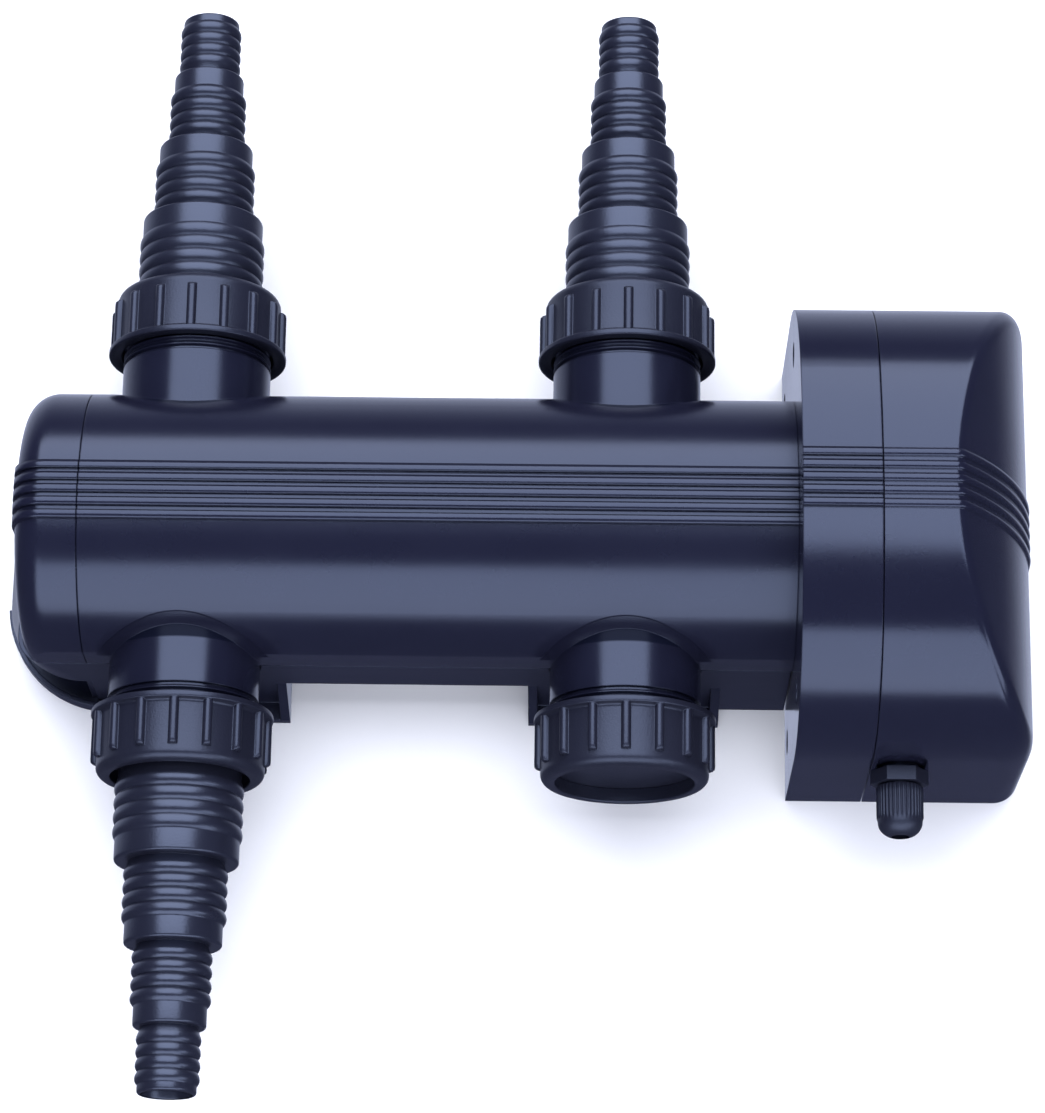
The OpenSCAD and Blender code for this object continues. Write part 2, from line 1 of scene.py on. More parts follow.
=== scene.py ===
"""Looks of the UV clarifier: materials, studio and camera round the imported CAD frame."""
import json
import math

import bmesh
import bpy
from mathutils import Matrix, Vector


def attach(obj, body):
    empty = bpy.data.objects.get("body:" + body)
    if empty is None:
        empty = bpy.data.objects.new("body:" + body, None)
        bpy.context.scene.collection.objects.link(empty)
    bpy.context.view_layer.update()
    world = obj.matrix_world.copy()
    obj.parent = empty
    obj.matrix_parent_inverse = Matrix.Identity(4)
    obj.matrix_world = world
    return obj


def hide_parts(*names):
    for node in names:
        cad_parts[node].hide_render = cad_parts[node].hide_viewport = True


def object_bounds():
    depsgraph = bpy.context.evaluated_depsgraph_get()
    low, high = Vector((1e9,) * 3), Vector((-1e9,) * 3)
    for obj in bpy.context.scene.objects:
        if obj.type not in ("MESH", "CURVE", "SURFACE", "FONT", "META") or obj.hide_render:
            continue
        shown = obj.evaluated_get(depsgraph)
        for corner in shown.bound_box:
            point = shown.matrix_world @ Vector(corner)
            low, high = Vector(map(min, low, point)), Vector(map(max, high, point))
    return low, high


MM = 0.001

# Driving sizes that more than one section uses, in millimetres
AXIS_Z = 45.0
PORT_X = 70.0
CROWN_RIBS = 5
RIB_PITCH = 4.1
RIB_HALF = 1.45
RIB_RISE = 0.9

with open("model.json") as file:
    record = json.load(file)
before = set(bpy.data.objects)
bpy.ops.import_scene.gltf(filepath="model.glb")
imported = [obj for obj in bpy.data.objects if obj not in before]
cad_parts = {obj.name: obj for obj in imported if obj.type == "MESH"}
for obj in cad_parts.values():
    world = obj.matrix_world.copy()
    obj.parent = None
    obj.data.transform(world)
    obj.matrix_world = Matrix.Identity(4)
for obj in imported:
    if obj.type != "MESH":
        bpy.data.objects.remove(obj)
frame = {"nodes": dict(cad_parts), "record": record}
CAD_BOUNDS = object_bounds()
NODES = frame["nodes"]

# ---------------------------------------------------------------- node helpers


def new_material(name):
    """An empty node material with its Principled shader wired to the output."""
    material = bpy.data.materials.new(name)
    material.use_nodes = True
    tree = material.node_tree
    tree.nodes.clear()
    output = tree.nodes.new("ShaderNodeOutputMaterial")
    shader = tree.nodes.new("ShaderNodeBsdfPrincipled")
    tree.links.new(shader.outputs["BSDF"], output.inputs["Surface"])
    return material, tree, shader


def noise(tree, scale, detail=3.0, roughness=0.5, stretch=(1, 1, 1)):
    """A noise texture in object space; a stretch under 1 draws it out along that axis."""
    coords = tree.nodes.new("ShaderNodeTexCoord")
    mapping = tree.nodes.new("ShaderNodeMapping")
    mapping.inputs["Scale"].default_value = stretch
    texture = tree.nodes.new("ShaderNodeTexNoise")
    texture.inputs["Scale"].default_value = scale
    texture.inputs["Detail"].default_value = detail
    texture.inputs["Roughness"].default_value = roughness
    tree.links.new(coords.outputs["Object"], mapping.inputs["Vector"])
    tree.links.new(mapping.outputs["Vector"], texture.inputs["Vector"])
    return texture.outputs["Fac"]


def remap(tree, value, low, high, from_low=0.3, from_high=0.7):
    """Maps from_low..from_high onto low..high."""
    node = tree.nodes.new("ShaderNodeMapRange")
    node.inputs["From Min"].default_value = from_low
    node.inputs["From Max"].default_value = from_high
    node.inputs["To Min"].default_value = low
    node.inputs["To Max"].default_value = high
    tree.links.new(value, node.inputs["Value"])
    return node.outputs["Result"]


def blend_colours(tree, factor, first, second):
    """Mixes two RGB colours by a value."""
    node = tree.nodes.new("ShaderNodeMix")
    node.data_type = "RGBA"
    node.inputs["A"].default_value = (*first, 1)
    node.inputs["B"].default_value = (*second, 1)
    tree.links.new(factor, node.inputs["Factor"])
    return node.outputs["Result"]


def bump(tree, height, distance, strength=1.0, normal=None):
    """A bump of the given depth in metres, on top of another normal if there is one."""
    node = tree.nodes.new("ShaderNodeBump")
    node.inputs["Distance"].default_value = distance
    node.inputs["Strength"].default_value = strength
    tree.links.new(height, node.inputs["Height"])
    if normal is not None:
        tree.links.new(normal, node.inputs["Normal"])
    return node.outputs["Normal"]


def bevelled_normal(tree, radius):
    """A normal that rounds the sharp edges of a moulding by a radius in metres."""
    node = tree.nodes.new("ShaderNodeBevel")
    node.samples = 6
    node.inputs["Radius"].default_value = radius
    return node.outputs["Normal"]


def maths(tree, operation, first, second=None, constant=0.0):
    """A maths node on one value and either another value or a constant."""
    node = tree.nodes.new("ShaderNodeMath")
    node.operation = operation
    tree.links.new(first, node.inputs[0])
    if second is None:
        node.inputs[1].default_value = constant
    else:
        tree.links.new(second, node.inputs[1])
    return node.outputs["Value"]


def object_axes(tree):
    """The X, Y and Z of the object frame in metres."""
    coords = tree.nodes.new("ShaderNodeTexCoord")
    axes = tree.nodes.new("ShaderNodeSeparateXYZ")
    tree.links.new(coords.outputs["Object"], axes.inputs["Vector"])
    return axes.outputs["X"], axes.outputs["Y"], axes.outputs["Z"]


# Painted shade and dark reflection in the creases at the ports' feet, and the band of crown ribs, in
# millimetres
PORT_NECK_R = 24.0
NECK_FADE = 0.08
CREASE_R = 29.0
CREASE_FADE = 0.9
CREASE_END_Y = -41.4
CREASE_END_FADE = 0.6
FRONT_Y = -30.0
SIDE_FADE = 1.0
RIB_BAND_HALF = 9.8
RIB_BAND_FADE = 0.1
# Colour and specular level of the painted shade and dark reflection at the ports' feet
PAINTED_SHADE_COLOUR = (0.004, 0.005, 0.012, 1)
PAINTED_SHADE_SHINE = 0.06


def port_painted_shade_mask(tree):
    """1 where shade and dark reflection are painted at each port's foot: on the tube behind, on the
    neck in front.
    """
    x, y, z = object_axes(tree)
    across = maths(tree, "SUBTRACT", maths(tree, "ABSOLUTE", x), constant=MM * PORT_X)
    above = maths(tree, "SUBTRACT", z, constant=MM * AXIS_Z)
    reach = maths(tree, "SQRT", maths(tree, "ADD", maths(tree, "MULTIPLY", across, across),
                                      maths(tree, "MULTIPLY", above, above)))
    neck_inner = MM * (PORT_NECK_R - NECK_FADE)
    outside = remap(tree, reach, 0.0, 1.0, neck_inner, MM * PORT_NECK_R)
    near = remap(tree, reach, 1.0, 0.0, MM * (CREASE_R - CREASE_FADE), MM * CREASE_R)
    behind = remap(tree, y, 0.0, 1.0, 0.0, MM * SIDE_FADE)
    on_neck = remap(tree, reach, 1.0, 0.0, neck_inner, MM * PORT_NECK_R)
    at_foot = remap(tree, y, 0.0, 1.0, MM * CREASE_END_Y,
                    MM * (CREASE_END_Y + CREASE_END_FADE))
    in_front = remap(tree, y, 1.0, 0.0, MM * (FRONT_Y - SIDE_FADE), MM * FRONT_Y)
    back_ring = maths(tree, "MULTIPLY", maths(tree, "MULTIPLY", outside, near), behind)
    front_ring = maths(tree, "MULTIPLY", maths(tree, "MULTIPLY", on_neck, at_foot), in_front)
    return maths(tree, "MAXIMUM", back_ring, front_ring)


def crown_rib_height(tree):
    """Height from 0 to 1 of the round crown ribs across Y, 0 beside them."""
    y = object_axes(tree)[1]
    wrap = tree.nodes.new("ShaderNodeMath")
    wrap.operation = "WRAP"
    tree.links.new(y, wrap.inputs[0])
    wrap.inputs[1].default_value = MM * RIB_PITCH / 2
    wrap.inputs[2].default_value = -MM * RIB_PITCH / 2
    share = maths(tree, "DIVIDE", wrap.outputs["Value"], constant=MM * RIB_HALF)
    fall = remap(tree, maths(tree, "MULTIPLY", share, share), 1.0, 0.0, 0.0, 1.0)
    on_band = remap(tree, maths(tree, "ABSOLUTE", y), 1.0, 0.0, MM * RIB_BAND_HALF,
                    MM * (RIB_BAND_HALF + RIB_BAND_FADE))
    return maths(tree, "MULTIPLY", maths(tree, "SQRT", fall), on_band)


PLASTIC_IOR = 1.5
GRAIN_STRENGTH = 0.6
WAVE_STRENGTH = 0.7


def plastic(name, dark, light, roughness, grain_scale, grain_depth, wave_depth=0.0,
            edge_radius=0.0004, tint=(1, 1, 1), painted_port_shade=False, shine=0.5,
            ribs=False):
    """Moulded plastic: mottled colour, uneven gloss, fine grain and slow moulding waves."""
    material, tree, shader = new_material(name)
    mottling = noise(tree, 38, 4, 0.6)
    colour = blend_colours(tree, mottling, dark, light)
    smears = noise(tree, 14, 5, 0.65, (0.4, 1, 1))
    gloss = remap(tree, smears, roughness[0], roughness[1])
    # Painted shade and dark reflection at the ports' feet: darker colour and less specular inside the
    # port mask
    if painted_port_shade:
        ring = port_painted_shade_mask(tree)
        shade = tree.nodes.new("ShaderNodeMix")
        shade.data_type = "RGBA"
        shade.inputs["B"].default_value = PAINTED_SHADE_COLOUR
        tree.links.new(ring, shade.inputs["Factor"])
        tree.links.new(colour, shade.inputs["A"])
        colour = shade.outputs["Result"]
        painted_shade_specular = remap(tree, ring, shine, PAINTED_SHADE_SHINE, 0.0, 1.0)
        tree.links.new(painted_shade_specular, shader.inputs["Specular IOR Level"])
    tree.links.new(colour, shader.inputs["Base Color"])
    tree.links.new(gloss, shader.inputs["Roughness"])
    normal = bump(tree, noise(tree, grain_scale, 2, 0.5), grain_depth, GRAIN_STRENGTH,
                  bevelled_normal(tree, edge_radius))
    if wave_depth:
        normal = bump(tree, noise(tree, 22, 1, 0.4, (0.5, 1, 1)), wave_depth, WAVE_STRENGTH,
                      normal)
    if ribs:
        normal = bump(tree, crown_rib_height(tree), MM * RIB_RISE, 1.0, normal)
    tree.links.new(normal, shader.inputs["Normal"])
    shader.inputs["IOR"].default_value = PLASTIC_IOR
    shader.inputs["Specular IOR Level"].default_value = shine
    shader.inputs["Specular Tint"].default_value = (*tint, 1)
    return material


def metal(name, colour, roughness):
    """Brushed metal with scratches along X."""
    material, tree, shader = new_material(name)
    streaks = noise(tree, 90, 4, 0.6, (1, 30, 30))
    darker = tuple(c * 0.75 for c in colour)
    tree.links.new(blend_colours(tree, streaks, darker, colour), shader.inputs["Base Color"])
    tree.links.new(remap(tree, streaks, roughness * 0.7, roughness * 1.3),
                   shader.inputs["Roughness"])
    tree.links.new(bump(tree, streaks, 0.00002, 0.4), shader.inputs["Normal"])
    shader.inputs["Metallic"].default_value = 1.0
    return material


def clear_glass(name, tint, roughness, ior):
    """Clear glass with faint drawing streaks."""
    material, tree, shader = new_material(name)
    streaks = noise(tree, 30, 2, 0.5, (0.1, 1, 1))
    tree.links.new(blend_colours(tree, streaks, tint, tuple(min(1, c * 1.03) for c in tint)),
                   shader.inputs["Base Color"])
    tree.links.new(remap(tree, streaks, roughness * 0.5, roughness * 1.5),
                   shader.inputs["Roughness"])
    shader.inputs["Transmission Weight"].default_value = 1.0
    shader.inputs["IOR"].default_value = ior
    return material


NAVY_DARK = (0.0062, 0.0066, 0.0150)
NAVY_LIGHT = (0.0082, 0.0088, 0.0195)
GREY_DARK = (0.0075, 0.0080, 0.0145)
GREY_LIGHT = (0.0105, 0.0112, 0.0200)
BLACK_DARK = (0.0060, 0.0062, 0.0085)
BLACK_LIGHT = (0.0100, 0.0103, 0.0135)
BLUE_SHEEN = (0.60, 0.71, 1.0)

MATERIALS = {
    # housing_gloss carries the painted shade and dark reflection round the ports' feet
    "housing_gloss": plastic("housing_gloss", NAVY_DARK, NAVY_LIGHT, (0.17, 0.25), 2600,
                             0.00003, 0.0003, 0.0006, BLUE_SHEEN, painted_port_shade=True,
                             ribs=True),
    "head_gloss": plastic("head_gloss", NAVY_DARK, NAVY_LIGHT, (0.14, 0.20), 2600, 0.00003,
                          0.0003, 0.0008, BLUE_SHEEN, ribs=True),
    "cover_gloss": plastic("cover_gloss", NAVY_DARK, NAVY_LIGHT, (0.14, 0.20), 2600, 0.00003,
                           0.0003, 0.0005, BLUE_SHEEN),
    "base_satin": plastic("base_satin", NAVY_DARK, NAVY_LIGHT, (0.26, 0.36), 2200, 0.00005,
                          0.0, 0.0006, BLUE_SHEEN),
    "union_satin": plastic("union_satin", GREY_DARK, GREY_LIGHT, (0.30, 0.40), 1500, 0.00008,
                           0.0, 0.0003, BLUE_SHEEN),
    "tail_satin": plastic("tail_satin", GREY_DARK, GREY_LIGHT, (0.26, 0.34), 1300, 0.00006,
                          0.0, 0.0002, BLUE_SHEEN, shine=0.72),
    "gland_matte": plastic("gland_matte", GREY_DARK, GREY_LIGHT, (0.34, 0.48), 1800, 0.00008,
                           0.0, 0.0003, BLUE_SHEEN),
    "seal_rubber": plastic("seal_rubber", BLACK_DARK, BLACK_LIGHT, (0.55, 0.7), 1600, 0.00006),
    "lamp_cap": plastic("lamp_cap", (0.66, 0.65, 0.60), (0.74, 0.73, 0.68), (0.35, 0.45), 1800,
                        0.00004),
    "inner_plastic": plastic("inner_plastic", (0.03, 0.033, 0.042), (0.045, 0.05, 0.06),
                             (0.35, 0.5), 1500, 0.00006),
    "spacer_rubber": plastic("spacer_rubber", (0.6, 0.57, 0.48), (0.7, 0.67, 0.58), (0.5, 0.6),
                             900, 0.00005),
    "ballast_case": plastic("ballast_case", (0.62, 0.62, 0.59), (0.72, 0.72, 0.69),
                            (0.45, 0.55), 1700, 0.00005),
    "terminal_plastic": plastic("terminal_plastic", (0.7, 0.67, 0.55), (0.8, 0.77, 0.66),
                                (0.4, 0.5), 1700, 0.00004),
    "lead_insulation": plastic("lead_insulation", (0.04, 0.1, 0.3), (0.06, 0.14, 0.4),
                               (0.35, 0.45), 1500, 0.00003),
    "quartz": clear_glass("quartz", (0.90, 0.95, 0.98), 0.02, 1.46),
    "lamp_glass": clear_glass("lamp_glass", (0.93, 0.95, 1.0), 0.03, 1.5),
    "pin_brass": metal("pin_brass", (0.78, 0.60, 0.28), 0.25),
    "bracket_steel": metal("bracket_steel", (0.60, 0.61, 0.63), 0.32),
    "screw_steel": metal("screw_steel", (0.58, 0.59, 0.61), 0.28),
}

for part in frame["record"]["subparts"]:
    node = NODES[part["node"]]
    node.data.materials.clear()
    node.data.materials.append(MATERIALS[part["material_slot"]])

# ---------------------------------------------------------------- mesh helpers


def finish_mesh(name, bm, slot_name, body, replaced, smooth_angle):
    """Turns a bmesh into a shaded piece that rides on a body in place of a CAD node."""
    bmesh.ops.recalc_face_normals(bm, faces=bm.faces)
    mesh = bpy.data.meshes.new(name)
    bm.to_mesh(mesh)
    bm.free()
    mesh.shade_smooth()
    mesh.set_sharp_from_angle(angle=math.radians(smooth_angle))
    mesh.materials.append(MATERIALS[slot_name])
    piece = bpy.data.objects.new(name, mesh)
    bpy.context.scene.collection.objects.link(piece)
    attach(piece, body)
    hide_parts(replaced)
    return piece


def add_grid(bm, rows, close_rows=False, close_columns=False):
    """Adds quads between rows of points and returns the rows of vertices."""
    verts = [[bm.verts.new(point) for point in row] for row in rows]
    row_count = len(verts)
    column_count = len(verts[0])
    for i in range(row_count if close_rows else row_count - 1):
        for j in range(column_count if close_columns else column_count - 1):
            corners = [verts[i][j], verts[i][(j + 1) % column_count],
                       verts[(i + 1) % row_count][(j + 1) % column_count],
                       verts[(i + 1) % row_count][j]]
            bm.faces.new(corners)
    return verts


def port_point(port, radius, angle, along):
    """A point round a port axis in metres; along is the distance from the tube axis."""
    x_sign, y_sign = port
    return (MM * (x_sign * PORT_X + radius * math.cos(angle)), MM * y_sign * along,
            MM * (AXIS_Z + radius * math.sin(angle)))


def add_lathe(bm, profile, place, segments=128):
    """Turns a closed profile of (radius, height) points; place maps polar values to a point."""
    rows = []
    for radius, height in profile:
        rows.append([place(radius, 2 * math.pi * k / segments, height) for k in range(segments)])
    return add_grid(bm, rows, close_rows=True, close_columns=True)


def corner_arc(centre, radius, start, end, steps=5):
    """Points on an arc in the profile plane, angles in degrees."""
    return [(centre[0] + radius * math.cos(math.radians(start + (end - start) * k / steps)),
             centre[1] + radius * math.sin(math.radians(start + (end - start) * k / steps)))
            for k in range(steps + 1)]


# ---------------------------------------------------------------- hose tails

TAIL_TIP = 181.2
TAIL_SHOULDER = 76.5
TAIL_FLANGE = 3.0
TAIL_NECK_R = 19.6
TAIL_FLANGE_R = 23.6
TAIL_MOUTH_R = 8.1
MOUTH_EDGE = 0.6
# Length, barb radius, lead radius and barb pitch of each step, from the tip
TAIL_STEPS = ((20.7, 10.1, 9.25, 4.07), (25.7, 12.6, 11.45, 4.37), (26.3, 16.4, 15.35, 4.47),
              (27.3, 20.4, 19.6, 4.64))
BARBS = 4
BARB_POINTS = 10
VALLEY_DEPTH = 0.85
BARB_CREST = 0.48
BARB_BACK = 1.6
LEAD_EDGE = 1.0
LEAD_EDGE_ANGLES = (0.0, 0.3, 0.6, 0.9, 1.2, math.pi / 2)
LEAD_GAP = 0.3
STEP_FOOT = 0.6
STEP_DIP = 0.15
STEP_BACK = 0.05
STEP_FRONT = 0.01
SHOULDER_NECK = 1.0
# Radius, start and end of each stretch of the bore, from the flange
TAIL_BORE = ((17.2, TAIL_SHOULDER - TAIL_FLANGE, 104.5), (12.95, 106.5, 130.8),
             (9.05, 133.0, 156.5), (7.6, 158.0, TAIL_TIP - MOUTH_EDGE))


def barb_height(t):
    """Height of a rounded barb from 0 to 1 along its pitch t, with its crest at BARB_CREST."""
    if t < BARB_CREST:
        bend = t / BARB_CREST * 0.5
    else:
        bend = 0.5 + (t - BARB_CREST) / (1 - BARB_CREST) * 0.5
    return math.sin(math.pi * bend) ** 0.75


def tail_profile():
    """Closed outline of a hose tail as (radius, distance from the tube axis)."""
    outline = []
    start = 0.0
    for length, barb_r, lead_r, pitch in TAIL_STEPS:
        first = length - BARBS * pitch - BARB_BACK
        outline += [(lead_r - LEAD_EDGE - STEP_FOOT, start - STEP_FRONT if start else start)]
        outline += [(lead_r - LEAD_EDGE + LEAD_EDGE * math.sin(a),
                     start + LEAD_EDGE - LEAD_EDGE * math.cos(a))
                    for a in LEAD_EDGE_ANGLES]
        outline.append((lead_r, start + first - LEAD_GAP))
        valley_r = min(lead_r, barb_r - VALLEY_DEPTH)
        for barb in range(BARBS):
            for k in range(BARB_POINTS):
                t = k / BARB_POINTS
                base = lead_r if barb == 0 and t < BARB_CREST else valley_r
                outline.append((base + (barb_r - base) * barb_height(t),
                                start + first + (barb + t) * pitch))
        start += length
        outline.append((valley_r - STEP_DIP, start - STEP_BACK))
    outer = [(radius, TAIL_TIP - back) for radius, back in outline]
    outer += [(TAIL_NECK_R, TAIL_SHOULDER + SHOULDER_NECK), (TAIL_NECK_R, TAIL_SHOULDER),
              (TAIL_FLANGE_R, TAIL_SHOULDER), (TAIL_FLANGE_R, TAIL_SHOULDER - TAIL_FLANGE)]
    bore = [(radius, place) for radius, begin, end in TAIL_BORE for place in (begin, end)]
    bore.append((TAIL_MOUTH_R, TAIL_TIP))
    return outer + bore


# ---------------------------------------------------------------- union nuts

NUT_START = 59.8
NUT_END = 81.2
NUT_FLANGE_R = 28.8
NUT_BODY_R = 26.7
NUT_BORE_R = 24.4
NUT_HOLE_R = 22.0
NUT_RIBS = 16
NUT_RIB_HALF = 1.5
NUT_RIB_R = 28.5
NUT_RIB_LOW = NUT_START + 1.6
NUT_RIB_HIGH = NUT_START + 16.9
NUT_RIB_SINK = 1.2
NUT_EDGE_R = 0.6
NUT_FLANGE_T = 1.5
NUT_TAPER = 0.1
NUT_NOSE_R = 3.0
NUT_HOLE_EDGE = 0.5
NUT_SHOULDER = 3.4
NUT_STEP = 0.1
# Rise above the body and distance from the start of the hollow corner behind the flange
NUT_FLANGE_FILLET = ((0.5, 2.4), (0.12, 2.8), (0.0, 3.4))
# Section of a rib as shares of its half width and of its rise
NUT_RIB_SECTION = ((-1.0, -0.5), (-0.93, 0.35), (-0.75, 0.78), (-0.4, 0.97), (0.0, 1.0),
                   (0.4, 0.97), (0.75, 0.78), (0.93, 0.35), (1.0, -0.5))
# Distance along the port and share of the rib's rise
NUT_RIB_STATIONS = ((NUT_RIB_LOW, 0.0), (NUT_RIB_LOW, 1.0), (NUT_RIB_HIGH - 1.6, 1.0),
                    (NUT_RIB_HIGH - 0.7, 0.93), (NUT_RIB_HIGH - 0.2, 0.6), (NUT_RIB_HIGH, 0.0))


def nut_profile():
    """Closed outline of a union nut as (radius, distance from the tube axis)."""
    flange_edge_r = NUT_FLANGE_R - NUT_EDGE_R
    outer = [(NUT_BORE_R, NUT_START + NUT_EDGE_R), (NUT_BORE_R + NUT_EDGE_R, NUT_START)]
    outer += corner_arc((flange_edge_r, NUT_START + NUT_EDGE_R), NUT_EDGE_R, -90, 0)
    outer += corner_arc((flange_edge_r, NUT_START + NUT_FLANGE_T), NUT_EDGE_R, 0, 80)
    outer += [(NUT_BODY_R + lift, NUT_START + along) for lift, along in NUT_FLANGE_FILLET]
    outer.append((NUT_BODY_R - NUT_TAPER, NUT_END - NUT_SHOULDER))
    outer += corner_arc((NUT_BODY_R - NUT_TAPER - NUT_NOSE_R, NUT_END - NUT_NOSE_R), NUT_NOSE_R,
                        8, 82, 10)
    outer += corner_arc((NUT_HOLE_R + NUT_HOLE_EDGE, NUT_END - NUT_HOLE_EDGE), NUT_HOLE_EDGE,
                        90, 180)
    outer += [(NUT_HOLE_R, TAIL_SHOULDER + NUT_STEP), (NUT_BORE_R, TAIL_SHOULDER)]
    return outer


def add_nut_rib(bm, port, angle):
    """A raised grip rib with rounded flanks, open underneath where it is sunk in the nut."""
    rise = NUT_RIB_R - NUT_BODY_R
    rows = []
    for along, share in NUT_RIB_STATIONS:
        row = []
        for side, height in NUT_RIB_SECTION:
            lift = rise * height * share if height > 0 else height * NUT_RIB_SINK
            radius = NUT_BODY_R + lift
            half = NUT_RIB_HALF * side
            row.append(port_point(port, math.hypot(radius, half), angle + math.atan2(half, radius),
                                  along))
        rows.append(row)
    add_grid(bm, rows)


# Sides of the ports in X and Y
PORTS = {"back_left": (-1, 1), "back_right": (1, 1), "front_left": (-1, -1),
         "front_right": (1, -1)}

for port_name, port in PORTS.items():
    def place(radius, angle, along, port=port):
        return port_point(port, radius, angle, along)

    if port_name != "front_right":
        tail = bmesh.new()
        add_lathe(tail, tail_profile(), place)
        finish_mesh("hose_tail_" + port_name, tail, "tail_satin", "tail_" + port_name,
                    "tail_" + port_name, 60)
    nut = bmesh.new()
    add_lathe(nut, nut_profile(), place)
    for rib in range(NUT_RIBS):
        add_nut_rib(nut, port, math.pi / 2 + 2 * math.pi * rib / NUT_RIBS)
    finish_mesh("grip_nut_" + port_name, nut, "union_satin", "nut_" + port_name,
                "nut_" + port_name, 50)

# ---------------------------------------------------------------- head cover

SEAM_X = 147.8
END_X = 198.8
HEAD_W = 74.0
HEAD_H = 108.5
SIDE_R = 55.8
SIDE_Y = HEAD_W - SIDE_R
SIDE_Z = 49.3
SIDE_RISE = HEAD_H - SIDE_Z
CROWN_R = (SIDE_Y ** 2 + SIDE_RISE ** 2 - SIDE_R ** 2) / (2 * (SIDE_RISE - SIDE_R))
CROWN_Z = HEAD_H - CROWN_R
CROWN_ANGLE = math.atan2(SIDE_Y, SIDE_Z - CROWN_Z)
END_R = 104.0
END_Z = 38.0
WALL_STEPS = 8
ARCH_STEP = 2.5
FILLET_STEPS = 10
END_STEPS = 14
END_DRAW = 0.5
# Places of the rows from the seam to the fillet, as shares of that length
SIDE_SHARES = (0, 0.2, 0.45, 0.7, 0.9, 0.97)
COVER_WALL = 3.0
WELD = 0.02
CROWN_FILLET = 5.0
WALL_FILLET = 8.5
FILLET_LOW_Z = 46.0
FILLET_HIGH_Z = 78.0


def outline_point(angle, offset):
    """Point and outward normal on the arch at an angle from the vertical, shrunk by offset."""
    side = 1 if angle > 0 else -1
    normal = (math.sin(angle), math.cos(angle))
    if abs(angle) <= CROWN_ANGLE:
        centre = (0.0, CROWN_Z)
        radius = CROWN_R
    else:
        centre = (side * SIDE_Y, SIDE_Z)
        radius = SIDE_R
    reach = radius - offset
    return (centre[0] + reach * normal[0], centre[1] + reach * normal[1]), normal


def arch_stations(offset, floor_z):
    """Points and normals round the cover's section from one foot of the arch to the other."""
    wall = [floor_z + (SIDE_Z - floor_z) * k / WALL_STEPS for k in range(WALL_STEPS)]
    stations = [((-(HEAD_W - offset), z), (-1.0, 0.0)) for z in wall]
    angles = [-90 + k * ARCH_STEP for k in range(1, round(180 / ARCH_STEP))]
    stations += [((-(HEAD_W - offset), SIDE_Z), (-1.0, 0.0))]
    stations += [outline_point(math.radians(a), offset) for a in angles]
    stations += [((HEAD_W - offset, SIDE_Z), (1.0, 0.0))]
    stations += [((HEAD_W - offset, z), (1.0, 0.0)) for z in reversed(wall)]
    return stations


def end_face_x(z, offset):
    """X of the arc-shaped end at a height."""
    if z <= END_Z:
        return END_X - offset
    return END_X - END_R + math.sqrt((END_R - offset) ** 2 - (z - END_Z) ** 2)


def fillet_radius(z):
    """Radius of the rolled edge of the end: wide on the walls, tight over the crown."""
    t = min(1.0, max(0.0, (z - FILLET_LOW_Z) / (FILLET_HIGH_Z - FILLET_LOW_Z)))
    return WALL_FILLET + (CROWN_FILLET - WALL_FILLET) * t * t * (3 - 2 * t)


def cover_skin(bm, offset, floor_z):
    """One skin of the cover with a rolled fillet between arch and end, as rows of vertices."""
    rows = []
    for (y, z), (ny, nz) in arch_stations(offset, floor_z):
        fillet = fillet_radius(z) - offset
        cy, cz = y - ny * fillet, z - nz * fillet
        reach = END_R - offset - fillet
        if cz > END_Z:
            cx = END_X - END_R + math.sqrt(reach ** 2 - (cz - END_Z) ** 2)
            end_normal = Vector((cx - END_X + END_R, 0, cz - END_Z)).normalized()
        else:
            cx = END_X - offset - fillet
            end_normal = Vector((1, 0, 0))
        row = [Vector((SEAM_X + (cx - SEAM_X) * t, y, z)) for t in SIDE_SHARES]
        arch_normal = Vector((0, ny, nz))
        centre = Vector((cx, cy, cz))
        swing = arch_normal.angle(end_normal)
        for k in range(FILLET_STEPS + 1):
            t = k / FILLET_STEPS
            direction = (arch_normal * math.sin((1 - t) * swing)
                         + end_normal * math.sin(t * swing)) / math.sin(swing)
            row.append(centre + direction * fillet)
        # The rest of the row crosses the end to its middle line, drawn in towards the tube's axis
        foot = row[-1]
        target_z = foot.z if foot.z < AXIS_Z else AXIS_Z + END_DRAW * (foot.z - AXIS_Z)
        for k in range(1, END_STEPS + 1):
            t = k / END_STEPS
            inner_y = foot.y * (1 - t)
            inner_z = foot.z + (target_z - foot.z) * t
            row.append(Vector((end_face_x(inner_z, offset), inner_y, inner_z)))
        rows.append([point * MM for point in row])
    return add_grid(bm, rows)


RIB_START = SEAM_X + 0.05
RIB_TOP_STEPS = 6
RIB_FILLET_STEPS = 12
RIB_END_STEPS = 40
RIB_FADE_STEPS = 8
# Section of a rib as shares of its half width and of its rise
RIB_SECTION = ((-1.0, -0.3), (-0.97, 0.1), (-0.87, 0.42), (-0.68, 0.7), (-0.4, 0.92), (0.0, 1.0),
               (0.4, 0.92), (0.68, 0.7), (0.87, 0.42), (0.97, 0.1), (1.0, -0.3))


def rib_path(y):
    """Points and normals along the crown, round the fillet and down the end at one Y."""
    fillet = CROWN_FILLET
    top_z = CROWN_Z + math.sqrt(CROWN_R ** 2 - y ** 2)
    cz = top_z - fillet
    cx = END_X - END_R + math.sqrt((END_R - fillet) ** 2 - (cz - END_Z) ** 2)
    end_angle = math.atan2(cz - END_Z, cx - END_X + END_R)
    path = [((RIB_START + (cx - SEAM_X) * k / RIB_TOP_STEPS, top_z), (0.0, 1.0))
            for k in range(RIB_TOP_STEPS)]
    for k in range(RIB_FILLET_STEPS + 1):
        a = math.pi / 2 + (end_angle - math.pi / 2) * k / RIB_FILLET_STEPS
        path.append(((cx + fillet * math.cos(a), cz + fillet * math.sin(a)),
                     (math.cos(a), math.sin(a))))
    for k in range(1, RIB_END_STEPS + 1):
        a = end_angle * (1 - k / RIB_END_STEPS)
        path.append(((END_X - END_R + END_R * math.cos(a), END_Z + END_R * math.sin(a)),
                     (math.cos(a), math.sin(a))))
    return path


